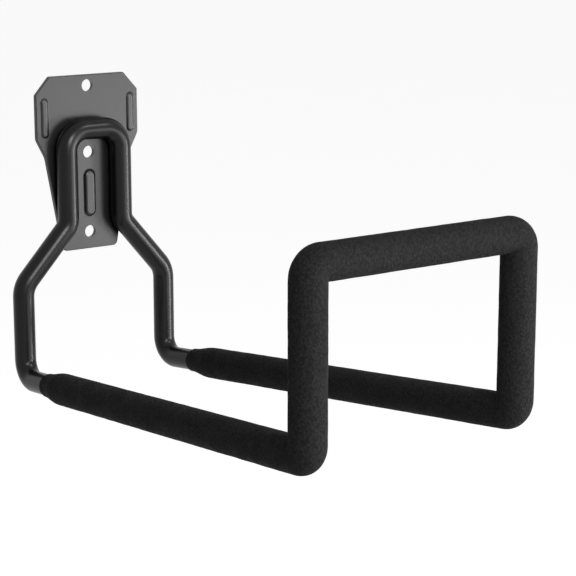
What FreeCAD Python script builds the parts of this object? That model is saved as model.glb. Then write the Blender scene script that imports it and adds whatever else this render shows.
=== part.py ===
import FreeCAD, Part
import math
import os
import re
import Sketcher

# A hose hanger: a stamped wall plate, a round bar bent into a closed loop and welded to the plate's face,
# and a foam sleeve over the bar's arms and front loop.
# Millimetres, +Z up. The wall is the plane Y = 0 and the hanger reaches out along -Y. X = 0 is its plane of
# symmetry, and Z = 0 lies halfway between the top and the bottom screw hole. A level is a height from there.

DIMENSIONS = {
    # wall plate
    "plate_thickness": 2.5,
    "plate_width": 66.0,
    "head_corner_inset": 9.0,
    "head_corner_drop": 10.0,
    "neck_inset": 5.5,
    "tail_inset": 15.4,
    "shoulder_level": 13.0,
    "neck_level": 2.5,
    "top_margin": 6.2,
    "bottom_margin": 10.0,
    "head_corner_radius": 1.5,
    "shoulder_radius": 6.0,
    "neck_radius": 12.0,
    "tail_corner_radius": 3.0,
    "plate_edge_radius": 0.5,
    # screw holes, on the plate's centreline
    "screw_hole_diameter": 7.0,
    "screw_hole_spacing": 84.0,
    "middle_hole_level": 4.0,
    # ribs pressed out of the plate, their walls leaning by rib_slope degrees
    "rib_slope": 40.0,
    "rib_crest_radius": 1.4,
    "rib_foot_radius": 0.5,
    "side_rib_width": 4.6,
    "side_rib_length": 22.5,
    "side_rib_rise": 0.9,
    "side_rib_inset": 5.2,
    "side_rib_level": 25.2,
    "centre_rib_width": 7.6,
    "centre_rib_length": 27.5,
    "centre_rib_rise": 1.5,
    "centre_rib_level": -19.5,
    # bent bar, along its centreline
    "bar_diameter": 12.0,
    "arch_level": 18.0,
    "leg_spacing": 35.0,
    "leg_end_level": -35.5,
    "splay_end_level": -68.5,
    "lower_spacing": 93.0,
    "lower_wall_gap": 0.5,
    "bottom_level": -122.0,
    "front_spacing": 123.0,
    "front_reach": 295.0,
    "front_low_level": -92.5,
    "front_high_level": -5.5,
    "arch_bend_radius": 11.5,
    "leg_bend_radius": 9.0,
    "splay_bend_radius": 15.0,
    "bottom_bend_radius": 11.0,
    "front_bend_radius": 7.0,
    # foam sleeve
    "sleeve_diameter": 18.0,
    "sleeve_fit_gap": 0.1,
    "sleeve_setback": 19.0,
    "sleeve_taper_length": 18.0,
    "sleeve_end_wall": 0.6,
}

# How a sketch numbers its own origin, its vertical axis and the points of its curves
ORIGIN, VERTICAL_AXIS = range(-1, -3, -1)
START, END, CENTRE = range(1, 4)

FULL_TURN = 360.0
TOUCH = 1e-4

Vector = FreeCAD.Vector
doc = FreeCAD.newDocument("hose_hanger")
sheet = doc.addObject("Spreadsheet::Sheet", "dimensions")
for row, (alias, measure) in enumerate(DIMENSIONS.items(), start=1):
    sheet.set(f"A{row}", alias)
    sheet.set(f"B{row}", str(measure))
    sheet.setAlias(f"B{row}", alias)
doc.recompute()


def size(alias):
    """The value of one driving dimension."""
    return float(sheet.get(alias))


def cells(formula):
    """A formula of plain cell names, as an expression that reads them from the sheet."""
    names = "|".join(DIMENSIONS)
    return re.sub(rf"\b({names})\b", r"dimensions.\1", formula)


def value(formula):
    """What a formula of cell names comes to."""
    return float(sheet.evalExpression(cells(formula)))


def origin_plane(body, role):
    """One of a body's own origin planes."""
    return next(plane for plane in body.Origin.OriginFeatures if plane.Role == role)


def new_body(label):
    """An empty body, named after the piece that it holds."""
    body = doc.addObject("PartDesign::Body", label)
    body.Label = label
    return body


def new_sketch(body, name, role):
    """An empty sketch on one of a body's origin planes."""
    sketch = body.newObject("Sketcher::SketchObject", name)
    sketch.AttachmentSupport = [(origin_plane(body, role), "")]
    sketch.MapMode = "FlatFace"
    return sketch


def drive(sketch, name, formula, *constraint):
    """Adds a constraint of the sketch that follows a formula of the sheet's cells."""
    index = sketch.addConstraint(Sketcher.Constraint(*constraint, value(formula)))
    sketch.renameConstraint(index, name)
    sketch.setExpression(f"Constraints.{name}", cells(formula))


def relate(sketch, *constraint):
    """Adds a constraint that needs no size."""
    sketch.addConstraint(Sketcher.Constraint(*constraint))


def edge_names(feature, chosen):
    """The names of those edges of a feature that a test picks."""
    return [f"Edge{number}" for number, edge in enumerate(feature.Shape.Edges, start=1) if chosen(edge)]


# Wall plate: the right-hand corners of its outline from the top down, each with its distance from the
# centreline, its level and its rounding
PLATE_TOP = "screw_hole_spacing / 2 + top_margin"
PLATE_BOTTOM = "-screw_hole_spacing / 2 - bottom_margin"
PLATE_CORNERS = {
    "head": ("plate_width / 2 - head_corner_inset", PLATE_TOP, "head_corner_radius"),
    "side": ("plate_width / 2", f"{PLATE_TOP} - head_corner_drop", "head_corner_radius"),
    "shoulder": ("plate_width / 2", "shoulder_level", "shoulder_radius"),
    "neck": ("plate_width / 2 - neck_inset", "neck_level", "neck_radius"),
    "tail": ("plate_width / 2 - tail_inset", PLATE_BOTTOM, "tail_corner_radius"),
}
SCREW_HOLE_LEVELS = {
    "top": "screw_hole_spacing / 2",
    "middle": "middle_hole_level",
    "bottom": "-screw_hole_spacing / 2",
}
RIBS = {
    "left_rib": ("side_rib_inset - plate_width / 2", "side_rib"),
    "right_rib": ("plate_width / 2 - side_rib_inset", "side_rib"),
    "centre_rib": ("0", "centre_rib"),
}
# How much narrower a rib is at the back than in front, on each side, for a wall as thick as the plate
RIB_WALL_INSET = "plate_thickness * (1 - sin(rib_slope)) / cos(rib_slope)"


def draw_outline(sketch):
    """The plate's outline with sharp corners, the left half mirroring the right."""
    right = [Vector(value(x), value(z)) for x, z, _ in PLATE_CORNERS.values()]
    left = [Vector(-corner.x, corner.y) for corner in reversed(right)]
    corners = right + left
    count = len(corners)
    for number, corner in enumerate(corners):
        sketch.addGeometry(Part.LineSegment(corner, corners[(number + 1) % count]))
    for number in range(count):
        relate(sketch, "Coincident", number, END, (number + 1) % count, START)
    for number, (name, (x, z, _)) in enumerate(PLATE_CORNERS.items()):
        relate(sketch, "Symmetric", number, START, count - 1 - number, START, VERTICAL_AXIS)
        drive(sketch, f"{name}_out", x, "DistanceX", ORIGIN, START, number, START)
        drive(sketch, f"{name}_up", z, "DistanceY", ORIGIN, START, number, START)


def round_corners(body, feature):
    """Rounds the plate's corners, one radius at a time."""
    for radius in dict.fromkeys(radius for _, _, radius in PLATE_CORNERS.values()):
        spots = [(value(x), value(z)) for x, z, cell in PLATE_CORNERS.values() if cell == radius]

        def is_corner(edge):
            first, last = edge.Vertexes[0].Point, edge.Vertexes[-1].Point
            through_plate = math.hypot(last.x - first.x, last.z - first.z) < TOUCH
            return through_plate and any(math.hypot(abs(first.x) - x, first.z - z) < TOUCH for x, z in spots)

        rounded = body.newObject("PartDesign::Fillet", radius.replace("radius", "rounding"))
        rounded.Base = (feature, edge_names(feature, is_corner))
        rounded.setExpression("Radius", cells(radius))
        doc.recompute()
        feature = rounded
    return feature


def round_front_edge(body, feature):
    """Rounds the front edge of the plate's outline."""
    front_level = -size("plate_thickness")
    front = next(face for face in feature.Shape.Faces if abs(face.BoundBox.YMax - front_level) < TOUCH)
    outline = front.OuterWire.Edges
    rounded = body.newObject("PartDesign::Fillet", "front_edge_rounding")
    rounded.Base = (feature, edge_names(feature, lambda edge: any(edge.isSame(side) for side in outline)))
    rounded.setExpression("Radius", cells("plate_edge_radius"))
    doc.recompute()
    return rounded


def cut_screw_holes(body):
    """Three plain holes through the plate."""
    sketch = new_sketch(body, "screw_holes", "XZ_Plane")
    for number, (name, level) in enumerate(SCREW_HOLE_LEVELS.items()):
        centre = Vector(0, value(level))
        sketch.addGeometry(Part.Circle(centre, Vector(0, 0, 1), size("screw_hole_diameter") / 2))
        relate(sketch, "PointOnObject", number, CENTRE, VERTICAL_AXIS)
        drive(sketch, f"{name}_level", level, "DistanceY", ORIGIN, START, number, CENTRE)
        drive(sketch, f"{name}_bore", "screw_hole_diameter", "Diameter", number)
    holes = body.newObject("PartDesign::Pocket", "screw_hole_cut")
    holes.Profile = sketch
    holes.Type = "ThroughAll"
    holes.Midplane = True
    doc.recompute()


def draw_slot(sketch, across, level, straight, half_width):
    """An upright slot shape: two half circles, one above the other, joined by two straight sides."""
    radius = value(half_width)
    upper = Vector(value(across), value(f"{level} + {straight} / 2"))
    lower = Vector(value(across), value(f"{level} - {straight} / 2"))
    out = Vector(radius, 0)
    upward = Vector(0, 0, 1)
    top = sketch.addGeometry(Part.ArcOfCircle(Part.Circle(upper, upward, radius), 0, math.pi))
    left = sketch.addGeometry(Part.LineSegment(upper - out, lower - out))
    bottom = sketch.addGeometry(Part.ArcOfCircle(Part.Circle(lower, upward, radius), math.pi, 2 * math.pi))
    right = sketch.addGeometry(Part.LineSegment(lower + out, upper + out))
    for curve, following in ((top, left), (left, bottom), (bottom, right), (right, top)):
        relate(sketch, "Tangent", curve, END, following, START)
    relate(sketch, "Equal", top, bottom)
    for arc, name, sign in ((top, "upper", "+"), (bottom, "lower", "-")):
        arc_level = f"{level} {sign} {straight} / 2"
        drive(sketch, f"{name}_across", across, "DistanceX", ORIGIN, START, arc, CENTRE)
        drive(sketch, f"{name}_level", arc_level, "DistanceY", ORIGIN, START, arc, CENTRE)
    drive(sketch, "half_width", half_width, "Radius", top)


def round_rib(body, name, across, kind, height, radius):
    """Rounds the edges of a rib that lie at one height above the wall."""
    feature = body.Tip
    middle = Vector(value(across), -value(height), value(f"{kind}_level"))
    half_width = value(f"{kind}_width / 2")
    half_length = value(f"{kind}_length / 2")

    def on_the_rib(edge):
        away = edge.CenterOfMass - middle
        level = all(abs(vertex.Y - middle.y) < TOUCH for vertex in edge.Vertexes)
        return level and abs(away.x) < half_width + TOUCH and abs(away.z) < half_length

    rounded = body.newObject("PartDesign::Fillet", name)
    rounded.Base = (feature, edge_names(feature, on_the_rib))
    rounded.setExpression("Radius", cells(radius))
    doc.recompute()


def slope_sides(feature, kind):
    """Sets a rib's height, or its hollow's depth, and the slope of its sides."""
    feature.setExpression("Length", cells(f"{kind}_rise"))
    feature.setExpression("TaperAngle", cells("-rib_slope"))
    doc.recompute()


def press_rib(body, name, across, kind):
    """A rib that stands proud in front and is hollow behind, with a wall as thick as the plate."""
    straight = f"({kind}_length - {kind}_width)"
    raised = new_sketch(body, f"{name}_outline", "XZ_Plane")
    raised.setExpression(".AttachmentOffset.Base.z", cells("plate_thickness"))
    draw_slot(raised, across, f"{kind}_level", straight, f"{kind}_width / 2")
    rib = body.newObject("PartDesign::Pad", name)
    rib.Profile = raised
    slope_sides(rib, kind)
    round_rib(body, f"{name}_crest", across, kind, f"plate_thickness + {kind}_rise", "rib_crest_radius")
    round_rib(body, f"{name}_foot", across, kind, "plate_thickness", "rib_foot_radius")
    hollow = new_sketch(body, f"{name}_hollow_outline", "XZ_Plane")
    draw_slot(hollow, across, f"{kind}_level", straight, f"{kind}_width / 2 - {RIB_WALL_INSET}")
    recess = body.newObject("PartDesign::Pocket", f"{name}_hollow")
    recess.Profile = hollow
    recess.Reversed = True
    slope_sides(recess, kind)


def make_wall_plate():
    """The stamped plate: outline, rounded corners, screw holes and pressed ribs."""
    body = new_body("wall_plate")
    outline = new_sketch(body, "plate_outline", "XZ_Plane")
    draw_outline(outline)
    blank = body.newObject("PartDesign::Pad", "plate_blank")
    blank.Profile = outline
    blank.setExpression("Length", cells("plate_thickness"))
    doc.recompute()
    round_front_edge(body, round_corners(body, blank))
    cut_screw_holes(body)
    for name, (across, kind) in RIBS.items():
        press_rib(body, name, across, kind)
    return body


# Bent bar and the sleeve's route along it
def bend(before, corner, after, radius):
    """Where a bend of the centreline starts, is halfway and ends."""
    back = (before - corner).normalize()
    ahead = (after - corner).normalize()
    half_angle = back.getAngle(ahead) / 2
    inward = (back + ahead).normalize()
    run = radius / math.tan(half_angle)
    reach = radius / math.sin(half_angle) - radius
    return corner + back * run, corner + inward * reach, corner + ahead * run


def bent_path(points, radii):
    """A wire of straight runs through the points, with a bend of its own radius at each inner point."""
    edges = []
    last = points[0]
    for before, corner, after, radius in zip(points, points[1:], points[2:], radii):
        start, middle, end = bend(before, corner, after, radius)
        edges.append(Part.makeLine(last, start))
        edges.append(Part.Arc(start, middle, end).toShape())
        last = end
    edges.append(Part.makeLine(last, points[-1]))
    return Part.Wire(edges)


def bar_corners():
    """The corners of the bar's right half, from the arch's middle to the middle of the front crossbar."""
    leg_out = size("leg_spacing") / 2
    lower_out = size("lower_spacing") / 2
    front_out = size("front_spacing") / 2
    leg_depth = -size("plate_thickness") - size("bar_diameter") / 2
    lower_depth = -size("lower_wall_gap") - size("bar_diameter") / 2
    front_depth = -size("front_reach")
    return {
        "arch_middle": Vector(0, leg_depth, size("arch_level")),
        "arch": Vector(leg_out, leg_depth, size("arch_level")),
        "leg_end": Vector(leg_out, leg_depth, size("leg_end_level")),
        "splay_end": Vector(lower_out, lower_depth, size("splay_end_level")),
        "bottom": Vector(lower_out, lower_depth, size("bottom_level")),
        "front_low": Vector(front_out, front_depth, size("front_low_level")),
        "front_high": Vector(front_out, front_depth, size("front_high_level")),
        "crossbar_middle": Vector(0, front_depth, size("front_high_level")),
    }


def add_path(body, name, wire):
    """A route for a pipe, with a copy of it bound into the body that follows it."""
    route = doc.addObject("Part::Feature", name)
    route.Shape = wire
    bound = body.newObject("PartDesign::SubShapeBinder", f"{name}_in_{body.Name}")
    bound.Support = [(route, ("",))]
    doc.recompute()
    return bound


def add_pipe(body, name, section, route, kind="AdditivePipe"):
    """A section carried along a route."""
    pipe = body.newObject(f"PartDesign::{kind}", name)
    pipe.Profile = section
    pipe.Spine = (route, [f"Edge{number}" for number in range(1, len(route.Shape.Edges) + 1)])
    doc.recompute()


def mirror_across(body):
    """Mirrors a body's right half in the plane of symmetry."""
    mirrored = body.newObject("PartDesign::Mirrored", f"{body.Name}_left_half")
    mirrored.TransformMode = "Whole shape"
    mirrored.MirrorPlane = (origin_plane(body, "YZ_Plane"), [""])
    body.Tip = mirrored
    doc.recompute()


def draw_ring(sketch, depth, level, diameters):
    """Circles around one centre, given by its distance in front of the wall and its level."""
    centre = Vector(-value(depth), value(level))
    for number, (name, diameter) in enumerate(diameters.items()):
        sketch.addGeometry(Part.Circle(centre, Vector(0, 0, 1), value(diameter) / 2))
        drive(sketch, f"{name}_depth", depth, "DistanceX", number, CENTRE, ORIGIN, START)
        drive(sketch, f"{name}_level", level, "DistanceY", ORIGIN, START, number, CENTRE)
        drive(sketch, f"{name}_diameter", diameter, "Diameter", number)


def make_bent_bar():
    """The round bar, bent into a closed loop: its left half mirrors the right one."""
    body = new_body("bent_bar")
    corners = list(bar_corners().values())
    bends = [size(f"{name}_bend_radius") for name in ("arch", "leg", "splay", "bottom", "front", "front")]
    route = add_path(body, "bar_path", bent_path(corners, bends))
    section = new_sketch(body, "bar_section", "YZ_Plane")
    draw_ring(section, "plate_thickness + bar_diameter / 2", "arch_level", {"bar": "bar_diameter"})
    add_pipe(body, "bar_right_half", section, route)
    mirror_across(body)
    return body


# Foam sleeve
SLEEVE_BORE = "bar_diameter + 2 * sleeve_fit_gap"


def draw_taper(sketch):
    """Half a section of the sleeve's end, which swells from a thin lip in an S of two arcs."""
    length = size("sleeve_taper_length")
    bore = value(SLEEVE_BORE) / 2
    lip = bore + size("sleeve_end_wall")
    full = size("sleeve_diameter") / 2
    swell = full - lip
    arc_radius = (length**2 + swell**2) / (4 * swell)
    half_turn = math.asin(length / 2 / arc_radius)
    upward = Vector(0, 0, 1)
    hollow = Part.Circle(Vector(0, lip + arc_radius), upward, arc_radius)
    crown = Part.Circle(Vector(length, full - arc_radius), upward, arc_radius)
    inside = sketch.addGeometry(Part.LineSegment(Vector(0, bore), Vector(length, bore)))
    end = sketch.addGeometry(Part.LineSegment(Vector(0, bore), Vector(0, lip)))
    rise = sketch.addGeometry(Part.ArcOfCircle(hollow, -math.pi / 2, -math.pi / 2 + half_turn))
    top = sketch.addGeometry(Part.ArcOfCircle(crown, math.pi / 2, math.pi / 2 + half_turn))
    seam = sketch.addGeometry(Part.LineSegment(Vector(length, full), Vector(length, bore)))
    relate(sketch, "Coincident", inside, START, end, START)
    relate(sketch, "Coincident", end, END, rise, START)
    relate(sketch, "Tangent", rise, END, top, END)
    relate(sketch, "Coincident", top, START, seam, START)
    relate(sketch, "Coincident", seam, END, inside, END)
    relate(sketch, "Horizontal", inside)
    relate(sketch, "Vertical", end)
    relate(sketch, "Vertical", seam)
    relate(sketch, "PointOnObject", inside, START, VERTICAL_AXIS)
    relate(sketch, "PointOnObject", rise, CENTRE, VERTICAL_AXIS)
    relate(sketch, "Vertical", top, START, top, CENTRE)
    relate(sketch, "Equal", rise, top)
    drive(sketch, "bore", f"({SLEEVE_BORE}) / 2", "DistanceY", ORIGIN, START, inside, START)
    drive(sketch, "length", "sleeve_taper_length", "DistanceX", inside, START, inside, END)
    drive(sketch, "lip", "sleeve_end_wall", "DistanceY", end, START, end, END)
    drive(sketch, "full", "sleeve_diameter / 2", "DistanceY", ORIGIN, START, top, START)


def add_run(body, name, start, end):
    """A straight run of the sleeve, still without its bore."""
    run = body.newObject("PartDesign::AdditiveCylinder", name)
    run.Placement = FreeCAD.Placement(start, FreeCAD.Rotation(Vector(0, 0, 1), end - start))
    run.Height = (end - start).Length
    run.setExpression("Radius", cells("sleeve_diameter / 2"))
    doc.recompute()


def draw_corner(sketch):
    """The sleeve's section, cut off at the sketch's upright axis, which the bend turns about."""
    bend_radius = size("front_bend_radius")
    radius = size("sleeve_diameter") / 2
    cut = math.acos(-bend_radius / radius)
    top = Vector(0, radius * math.sin(cut))
    circle = Part.Circle(Vector(bend_radius, 0), Vector(0, 0, 1), radius)
    skin = sketch.addGeometry(Part.ArcOfCircle(circle, -cut, cut))
    chord = sketch.addGeometry(Part.LineSegment(top, -top))
    relate(sketch, "Coincident", skin, END, chord, START)
    relate(sketch, "Coincident", chord, END, skin, START)
    relate(sketch, "PointOnObject", chord, START, VERTICAL_AXIS)
    relate(sketch, "Symmetric", chord, START, chord, END, ORIGIN, START)
    drive(sketch, "bend", "front_bend_radius", "DistanceX", ORIGIN, START, skin, CENTRE)
    drive(sketch, "radius", "sleeve_diameter / 2", "Radius", skin)


def add_corner(body, name, corner, start, middle, end):
    """The sleeve round the outside of a bend. On the inside, the straight runs meet in a crease."""
    centre = middle + (middle - corner).normalize() * size("front_bend_radius")
    outward = (start - centre).normalize()
    axis = outward.cross(corner - start).normalize()
    section = body.newObject("Sketcher::SketchObject", f"{name}_section")
    turned = FreeCAD.Rotation(outward, axis, outward.cross(axis), "XYZ")
    section.Placement = FreeCAD.Placement(centre, turned)
    draw_corner(section)
    turn = body.newObject("PartDesign::Revolution", name)
    turn.Profile = section
    turn.ReferenceAxis = (section, ["V_Axis"])
    turn.Angle = math.degrees((start - centre).getAngle(end - centre))
    doc.recompute()


def make_foam_sleeve():
    """The sleeve: a tube over the arm, the upright and the crossbar, with a tapered end near the wall."""
    body = new_body("foam_sleeve")
    corners = bar_corners()
    bottom = corners["bottom"]
    _, _, arm_start = bend(corners["splay_end"], bottom, corners["front_low"], size("bottom_bend_radius"))
    arm = (corners["front_low"] - bottom).normalize()
    lip = arm_start + arm * size("sleeve_setback")
    full = lip + arm * size("sleeve_taper_length")

    points = [corners["crossbar_middle"], corners["front_high"], corners["front_low"], full]
    radius = size("front_bend_radius")
    last = points[0]
    for name, before, corner, after in zip(("high", "low"), points, points[1:], points[2:]):
        start, middle, end = bend(before, corner, after, radius)
        add_run(body, f"run_to_{name}_corner", last, start)
        add_corner(body, f"{name}_corner", corner, start, middle, end)
        last = end
    add_run(body, "arm_run", last, full)
    section = new_sketch(body, "bore_section", "YZ_Plane")
    draw_ring(section, "front_reach", "front_high_level", {"bore": SLEEVE_BORE})
    route = add_path(body, "bore_path", bent_path(points, [radius] * 2))
    add_pipe(body, "bore", section, route, "SubtractivePipe")

    # the taper's sketch has its X axis on the arm's centreline
    profile = body.newObject("Sketcher::SketchObject", "sleeve_end_section")
    profile.Placement = FreeCAD.Placement(lip, FreeCAD.Rotation(Vector(1, 0, 0), arm))
    draw_taper(profile)
    taper = body.newObject("PartDesign::Revolution", "sleeve_end")
    taper.Profile = profile
    taper.ReferenceAxis = (profile, ["H_Axis"])
    taper.Angle = FULL_TURN
    doc.recompute()
    mirror_across(body)
    return body


def check(pieces):
    """Stops if any object failed or any piece is not one valid solid."""
    for item in doc.Objects:
        if "Invalid" in item.State or "Error" in item.State:
            raise RuntimeError(f"{item.Name} failed: {item.State}")
    for piece in pieces:
        if piece.Shape.isNull() or not piece.Shape.isValid() or len(piece.Shape.Solids) != 1:
            raise RuntimeError(f"{piece.Label} is not one valid solid")


pieces = [make_wall_plate(), make_bent_bar(), make_foam_sleeve()]
doc.recompute()
check(pieces)
os.makedirs("parts", exist_ok=True)
for piece in pieces:
    piece.Shape.exportStep(f"parts/{piece.Label}.step")
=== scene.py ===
import math

import bmesh
import bpy
from mathutils import Euler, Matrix, Quaternion, Vector, noise


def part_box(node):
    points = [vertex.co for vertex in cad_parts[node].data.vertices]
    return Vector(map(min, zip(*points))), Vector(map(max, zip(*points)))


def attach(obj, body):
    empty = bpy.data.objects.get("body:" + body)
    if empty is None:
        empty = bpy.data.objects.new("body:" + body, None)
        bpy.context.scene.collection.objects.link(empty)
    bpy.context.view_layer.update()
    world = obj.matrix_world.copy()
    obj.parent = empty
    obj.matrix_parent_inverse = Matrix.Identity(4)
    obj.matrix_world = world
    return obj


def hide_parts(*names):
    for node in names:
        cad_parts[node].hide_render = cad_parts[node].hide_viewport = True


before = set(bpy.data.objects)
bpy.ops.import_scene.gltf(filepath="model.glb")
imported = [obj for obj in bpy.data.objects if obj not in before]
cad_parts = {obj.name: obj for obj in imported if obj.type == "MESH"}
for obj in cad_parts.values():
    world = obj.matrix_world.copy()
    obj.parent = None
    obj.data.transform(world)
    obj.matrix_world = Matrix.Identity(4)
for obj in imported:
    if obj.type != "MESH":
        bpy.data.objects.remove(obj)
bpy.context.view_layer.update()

# The object's lengths are written in millimetres and turned into metres with MM.
MM = 0.001

# The camera, fitted to the photograph's straight edges. Its sensor stays in millimetres.
IMAGE_WIDTH = 576
FOCAL_LENGTH_PIXELS = 1855.8
SENSOR_WIDTH = 36.0
CAMERA_PLACE = Vector((-527.7, -920.1, 154.6)) * MM
CAMERA_YAW = math.radians(36.08)
CAMERA_PITCH = math.radians(12.34)

# The foam sleeve: what the frame's boxes don't give of the bar that it follows
SLEEVE_RADIUS = 9.0 * MM
SLEEVE_BORE_RADIUS = 6.1 * MM
SLEEVE_LIP_RADIUS = 6.7 * MM
FRONT_BEND_RADIUS = 7.0 * MM
SLEEVE_TAPER = 18.0 * MM
SLEEVE_LIP_DISTANCE = 31.18 * MM
LOWER_BEND = Vector((46.5, -6.5, -122.0)) * MM
FRONT_LOW_LEVEL = -92.5 * MM

# The sleeve's mesh, and how uneven its skin is
RING_STEP = 0.9 * MM
RING_POINTS = 64
BORE_EVERY = 12
MERGE_DISTANCE = 0.001 * MM
BUMP_DEPTH = 0.10 * MM
BUMP_SIZE = 9.0 * MM
DIMPLE_DEPTH = 0.05 * MM
DIMPLE_SIZE = 3.0 * MM

# The powder coat's textures, with scales in spots per metre
COAT_CLOUD_SCALE = 60.0
PEEL_SCALE = 900.0
PEEL_STRENGTH = 0.02
PEEL_DEPTH = 0.05 * MM

# The foam's textures, with scales in spots per metre, and its finish
PEBBLE_SCALE = 850.0
PEBBLE_WEIGHT = -0.8
PORE_SCALE = 2200.0
FOAM_CLOUD_SCALE = 120.0
# The foam's colour: darker in the hollows between pebbles, which is painted shade, and lighter on the
# pebbles' tops.
FOAM_HOLLOW_SHADE = 0.012
FOAM_PEBBLE_TOP = 0.026
FOAM_SMOOTH = 0.66
FOAM_ROUGH = 0.78
FOAM_GLOSS = 0.04
GRAIN_STRENGTH = 1.0
GRAIN_DEPTH = 0.6 * MM

# A black finish is a trace cooler than a neutral grey.
BLUE_SHARE = 1.03

# The studio: the floor's size and the softboxes are in metres, and their angles in degrees.
FLOOR_LEVEL = -450.0 * MM
FLOOR_SIZE = 60.0
FLOOR_COLOUR = (0.35, 0.35, 0.35, 1.0)
FLOOR_GLOW = (0.93, 0.93, 0.93, 1.0)
WORLD_BOUNCE = 0.05
WHITE = (1.0, 1.0, 1.0, 1.0)


class Fold:
    """A corner of the sleeve: a bend tighter than the sleeve is thick, with a crease on its inside."""

    def __init__(self, before, corner, after):
        back = (before - corner).normalized()
        ahead = (after - corner).normalized()
        half_angle = back.angle(ahead) / 2
        self.inward = (back + ahead).normalized()
        self.centre = corner + self.inward * (FRONT_BEND_RADIUS / math.sin(half_angle))
        self.start = corner + back * (FRONT_BEND_RADIUS / math.tan(half_angle))
        self.direction = -back
        self.axis = ahead.cross(back).normalized()
        self.half_turn = math.pi / 2 - half_angle

    def stations(self):
        """The points and directions of the bend, from its start to its end."""
        turn = 2 * self.half_turn
        steps = round((FRONT_BEND_RADIUS + SLEEVE_RADIUS) * turn / RING_STEP)
        turned = [Quaternion(self.axis, turn * step / steps) for step in range(steps + 1)]
        return [(self.centre + by @ (self.start - self.centre), by @ self.direction) for by in turned]

    def near(self, place):
        """Whether a station is so near that the crease can cut into its ring."""
        return (self.centre - place).length < 2 * SLEEVE_RADIUS

    def creased(self, place, direction, offset):
        """A point of a station's ring, brought back to the crease if it lies beyond it."""
        to_axis = self.centre - place
        ahead = to_axis.dot(direction)
        beyond = offset.dot((to_axis - direction * ahead).normalized()) - FRONT_BEND_RADIUS
        if beyond * math.tan(self.half_turn) <= abs(ahead):
            return place + offset
        along_crease = self.axis * offset.dot(self.axis)
        return self.centre + self.inward * (beyond / math.cos(self.half_turn)) + along_crease


def straight(start, end):
    """The points and directions of a straight run, without its ends."""
    steps = max(2, round((end - start).length / RING_STEP))
    direction = (end - start).normalized()
    return [(start.lerp(end, step / steps), direction) for step in range(1, steps)]


def sleeve_route():
    """The sleeve's centreline from its left lip to its right lip, and the corners on it."""
    low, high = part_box("foam_sleeve")
    front_out = high.x - SLEEVE_RADIUS
    front_depth = low.y + SLEEVE_RADIUS
    front_low = Vector((front_out, front_depth, FRONT_LOW_LEVEL))
    front_high = Vector((front_out, front_depth, high.z - SLEEVE_RADIUS))
    arm = (front_low - LOWER_BEND).normalized()
    right = [front_high, front_low, LOWER_BEND + arm * SLEEVE_LIP_DISTANCE]
    left = [Vector((-corner.x, corner.y, corner.z)) for corner in reversed(right)]
    corners = left + right
    folds = [Fold(*three) for three in zip(corners, corners[1:], corners[2:])]
    stations = [(corners[0], (corners[1] - corners[0]).normalized())]
    for fold in folds:
        stations += straight(stations[-1][0], fold.start) + fold.stations()
    end = (corners[-1], (corners[-1] - corners[-2]).normalized())
    return stations + straight(stations[-1][0], end[0]) + [end], folds


def ring_frames(stations):
    """Each station with two directions across it that turn as little as possible along the sleeve."""
    across = stations[0][1].orthogonal().normalized()
    last = stations[0][1]
    frames = []
    for place, direction in stations:
        across = last.rotation_difference(direction) @ across
        across = (across - direction * across.dot(direction)).normalized()
        frames.append((place, direction, across, direction.cross(across)))
        last = direction
    return frames


def taper(distance):
    """The sleeve's radius at a distance from its nearer lip: an S from the lip to the full radius."""
    full = SLEEVE_RADIUS - BUMP_DEPTH - DIMPLE_DEPTH
    if distance >= SLEEVE_TAPER:
        return full
    share = distance / SLEEVE_TAPER
    return SLEEVE_LIP_RADIUS + (full - SLEEVE_LIP_RADIUS) * share * share * (3 - 2 * share)


def unevenness(spot):
    """How far the skin swells or sinks at a spot."""
    return noise.noise(spot / BUMP_SIZE) * BUMP_DEPTH + noise.noise(spot / DIMPLE_SIZE) * DIMPLE_DEPTH


def ring_sides(across, over):
    """The directions from a station to the points of its ring."""
    angles = [2 * math.pi * number / RING_POINTS for number in range(RING_POINTS)]
    return [across * math.cos(angle) + over * math.sin(angle) for angle in angles]


def skin_point(place, direction, side, radius, folds):
    """A point of the skin."""
    fold = next((fold for fold in folds if fold.near(place)), None)
    if fold is None:
        return place + side * (radius + unevenness(place + side * radius))
    even = fold.creased(place, direction, side * radius)
    return fold.creased(place, direction, side * (radius + unevenness(even)))


def make_sleeve():
    """The foam sleeve as a closed mesh: its skin, its two lips and its bore."""
    stations, folds = sleeve_route()
    frames = ring_frames(stations)
    travelled = [0.0]
    for (place, _), (following, _) in zip(stations, stations[1:]):
        travelled.append(travelled[-1] + (following - place).length)
    points = []
    for (place, direction, across, over), distance in zip(frames, travelled):
        radius = taper(min(distance, travelled[-1] - distance))
        points += [skin_point(place, direction, side, radius, folds) for side in ring_sides(across, over)]
    bore = frames[:-1:BORE_EVERY] + [frames[-1]]
    for place, _, across, over in reversed(bore):
        points += [place + side * SLEEVE_BORE_RADIUS for side in ring_sides(across, over)]
    rings = len(frames) + len(bore)
    faces = []
    for ring in range(rings):
        following = (ring + 1) % rings
        for number in range(RING_POINTS):
            beside = (number + 1) % RING_POINTS
            corners = ((ring, number), (following, number), (following, beside), (ring, beside))
            faces.append([row * RING_POINTS + column for row, column in corners])
    mesh = bpy.data.meshes.new("foam_sleeve_skin")
    mesh.from_pydata(points, [], faces)
    merge_points(mesh)
    mesh.shade_smooth()
    sleeve = bpy.data.objects.new("foam_sleeve_skin", mesh)
    bpy.context.scene.collection.objects.link(sleeve)
    return sleeve


def merge_points(mesh):
    """Joins the points that a crease has brought together, and turns the faces outward."""
    shape = bmesh.new()
    shape.from_mesh(mesh)
    bmesh.ops.remove_doubles(shape, verts=shape.verts, dist=MERGE_DISTANCE)
    bmesh.ops.recalc_face_normals(shape, faces=shape.faces)
    shape.to_mesh(mesh)
    shape.free()


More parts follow.
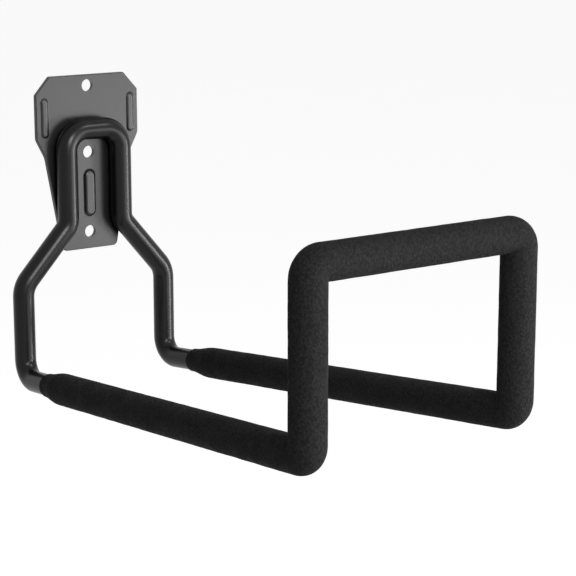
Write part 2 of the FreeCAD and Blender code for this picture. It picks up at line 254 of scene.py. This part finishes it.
def new_material(name):
    """A node material, with its tree and its shader."""
    material = bpy.data.materials.new(name)
    material.use_nodes = True
    return material, material.node_tree, material.node_tree.nodes["Principled BSDF"]


def add_node(tree, kind, **values):
    """A node of a tree with some of its inputs set."""
    node = tree.nodes.new(kind)
    for name, value in values.items():
        node.inputs[name].default_value = value
    return node


def add_bump(tree, shader, height, strength, distance):
    """Gives a shader a fine relief from a texture's height."""
    bump = add_node(tree, "ShaderNodeBump", Strength=strength, Distance=distance)
    tree.links.new(height, bump.inputs["Height"])
    tree.links.new(bump.outputs["Normal"], shader.inputs["Normal"])


def add_ramp(tree, source, low, high, start=0.3, end=0.7):
    """A colour ramp between two colours."""
    ramp = tree.nodes.new("ShaderNodeValToRGB")
    ramp.color_ramp.elements[0].color = low
    ramp.color_ramp.elements[0].position = start
    ramp.color_ramp.elements[1].color = high
    ramp.color_ramp.elements[1].position = end
    tree.links.new(source, ramp.inputs["Fac"])
    return ramp.outputs["Color"]


def grey(level):
    """A grey colour."""
    return (level, level, level * BLUE_SHARE, 1.0)


def powder_coat(name, dark, light, smooth, rough, gloss):
    """Black powder coat: a slightly uneven gloss with a fine orange-peel surface."""
    material, tree, shader = new_material(name)
    place = tree.nodes.new("ShaderNodeTexCoord").outputs["Object"]
    cloud = add_node(tree, "ShaderNodeTexNoise", Scale=COAT_CLOUD_SCALE, Detail=3.0)
    peel = add_node(tree, "ShaderNodeTexNoise", Scale=PEEL_SCALE, Detail=2.0)
    for texture in (cloud, peel):
        tree.links.new(place, texture.inputs["Vector"])
    shade = add_ramp(tree, cloud.outputs["Fac"], grey(dark), grey(light))
    tree.links.new(shade, shader.inputs["Base Color"])
    roughness = add_ramp(tree, peel.outputs["Fac"], grey(smooth), grey(rough))
    tree.links.new(roughness, shader.inputs["Roughness"])
    shader.inputs["Specular IOR Level"].default_value = gloss
    add_bump(tree, shader, peel.outputs["Fac"], PEEL_STRENGTH, PEEL_DEPTH)
    return material


def foam(name):
    """Matte closed-cell foam: pebbled skin with fine pores, its colour painted darker where the skin
    sinks, as painted shade in the hollows.
    """
    material, tree, shader = new_material(name)
    place = tree.nodes.new("ShaderNodeTexCoord").outputs["Object"]
    pebbles = add_node(tree, "ShaderNodeTexVoronoi", Scale=PEBBLE_SCALE)
    pebbles.feature = "SMOOTH_F1"
    pores = add_node(tree, "ShaderNodeTexNoise", Scale=PORE_SCALE, Detail=3.0)
    cloud = add_node(tree, "ShaderNodeTexNoise", Scale=FOAM_CLOUD_SCALE, Detail=4.0)
    for texture in (pebbles, pores, cloud):
        tree.links.new(place, texture.inputs["Vector"])
    grain_and_hollow_shade = tree.nodes.new("ShaderNodeMath")
    grain_and_hollow_shade.operation = "MULTIPLY_ADD"
    grain_and_hollow_shade.inputs[1].default_value = PEBBLE_WEIGHT
    tree.links.new(pebbles.outputs["Distance"], grain_and_hollow_shade.inputs[0])
    tree.links.new(pores.outputs["Fac"], grain_and_hollow_shade.inputs[2])
    # The grain's height also sets the colour, so the colour is darker where the skin sinks: painted shade
    # in the hollows.
    shade = add_ramp(tree, grain_and_hollow_shade.outputs["Value"], grey(FOAM_HOLLOW_SHADE), grey(FOAM_PEBBLE_TOP), start=0.0, end=0.5)
    tree.links.new(shade, shader.inputs["Base Color"])
    roughness = add_ramp(tree, cloud.outputs["Fac"], grey(FOAM_SMOOTH), grey(FOAM_ROUGH))
    tree.links.new(roughness, shader.inputs["Roughness"])
    shader.inputs["Specular IOR Level"].default_value = FOAM_GLOSS
    add_bump(tree, shader, grain_and_hollow_shade.outputs["Value"], GRAIN_STRENGTH, GRAIN_DEPTH)
    return material


def coat_node(name, material):
    """Gives a CAD node its finish."""
    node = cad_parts[name]
    node.data.materials.clear()
    node.data.materials.append(material)


def seen_directly(tree):
    """One where the camera or a reflection sees a surface, and zero where light bounces off it."""
    path = tree.nodes.new("ShaderNodeLightPath")
    seen = path.outputs["Is Camera Ray"]
    for ray in ("Is Glossy Ray", "Is Transmission Ray"):
        either = tree.nodes.new("ShaderNodeMath")
        either.operation = "MAXIMUM"
        tree.links.new(seen, either.inputs[0])
        tree.links.new(path.outputs[ray], either.inputs[1])
        seen = either.outputs["Value"]
    return seen


def make_floor():
    """A pale floor that looks white and still takes the object's shadow."""
    mesh = bpy.data.meshes.new("floor")
    half = FLOOR_SIZE / 2
    corners = ((-half, -half), (half, -half), (half, half), (-half, half))
    mesh.from_pydata([(x, y, FLOOR_LEVEL) for x, y in corners], [], [(0, 1, 2, 3)])
    floor = bpy.data.objects.new("floor", mesh)
    bpy.context.scene.collection.objects.link(floor)
    material, tree, shader = new_material("pale_floor")
    shader.inputs["Base Color"].default_value = FLOOR_COLOUR
    shader.inputs["Roughness"].default_value = 1.0
    shader.inputs["Specular IOR Level"].default_value = 0.0
    shader.inputs["Emission Color"].default_value = FLOOR_GLOW
    tree.links.new(seen_directly(tree), shader.inputs["Emission Strength"])
    mesh.materials.append(material)


def make_world():
    """White where it is seen, and a soft even light of its own."""
    world = bpy.data.worlds.new("studio")
    bpy.context.scene.world = world
    world.use_nodes = True
    tree = world.node_tree
    background = tree.nodes["Background"]
    background.inputs["Color"].default_value = WHITE
    strength = tree.nodes.new("ShaderNodeMapRange")
    strength.inputs["To Min"].default_value = WORLD_BOUNCE
    strength.inputs["To Max"].default_value = 1.0
    tree.links.new(seen_directly(tree), strength.inputs["Value"])
    tree.links.new(strength.outputs["Result"], background.inputs["Strength"])


def add_softbox(name, azimuth, elevation, distance, width, height, radiance, roll=0.0):
    """A soft box that looks at the origin. Azimuth 0 is straight in front and grows to the right."""
    light = bpy.data.lights.new(name, "AREA")
    light.shape = "RECTANGLE"
    light.size = width
    light.size_y = height
    light.energy = radiance * math.pi * width * height
    lamp = bpy.data.objects.new(name, light)
    side, up = math.radians(azimuth), math.radians(elevation)
    toward = Vector((math.sin(side) * math.cos(up), -math.cos(side) * math.cos(up), math.sin(up)))
    lamp.location = toward * distance
    tilt = Quaternion((0.0, 0.0, 1.0), math.radians(roll))
    lamp.rotation_euler = (toward.to_track_quat("Z", "Y") @ tilt).to_euler()
    bpy.context.scene.collection.objects.link(lamp)


def add_camera():
    """The photograph's camera."""
    data = bpy.data.cameras.new("photo_camera")
    data.sensor_width = SENSOR_WIDTH
    data.lens = SENSOR_WIDTH * FOCAL_LENGTH_PIXELS / IMAGE_WIDTH
    camera = bpy.data.objects.new("photo_camera", data)
    camera.location = CAMERA_PLACE
    camera.rotation_euler = Euler((math.pi / 2 - CAMERA_PITCH, 0.0, -CAMERA_YAW))
    bpy.context.scene.collection.objects.link(camera)
    bpy.context.scene.camera = camera


add_camera()
plate_coat = powder_coat("satin_powder_coat", dark=0.006, light=0.008, smooth=0.30, rough=0.36, gloss=0.4)
bar_coat = powder_coat("gloss_powder_coat", dark=0.003, light=0.004, smooth=0.285, rough=0.31, gloss=0.2)
coat_node("wall_plate", plate_coat)
coat_node("bent_bar", bar_coat)
sleeve = make_sleeve()
sleeve.data.materials.append(foam("sleeve_foam"))
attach(sleeve, "root")
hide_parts("foam_sleeve")

make_floor()
make_world()
add_softbox("plate_softbox", azimuth=23.0, elevation=-8.0, distance=1.3,
            width=0.52, height=0.4, radiance=6.0)
add_softbox("strip_softbox", azimuth=49.0, elevation=-12.0, distance=1.3,
            width=0.26, height=0.5, radiance=28.0)
add_softbox("front_softbox", azimuth=-10.0, elevation=15.0, distance=1.5,
            width=0.66, height=0.24, radiance=34.0, roll=-40.0)
add_softbox("upper_softbox", azimuth=30.0, elevation=37.0, distance=1.5,
            width=0.4, height=0.25, radiance=20.0)

bpy.context.scene.view_settings.view_transform = "Standard"
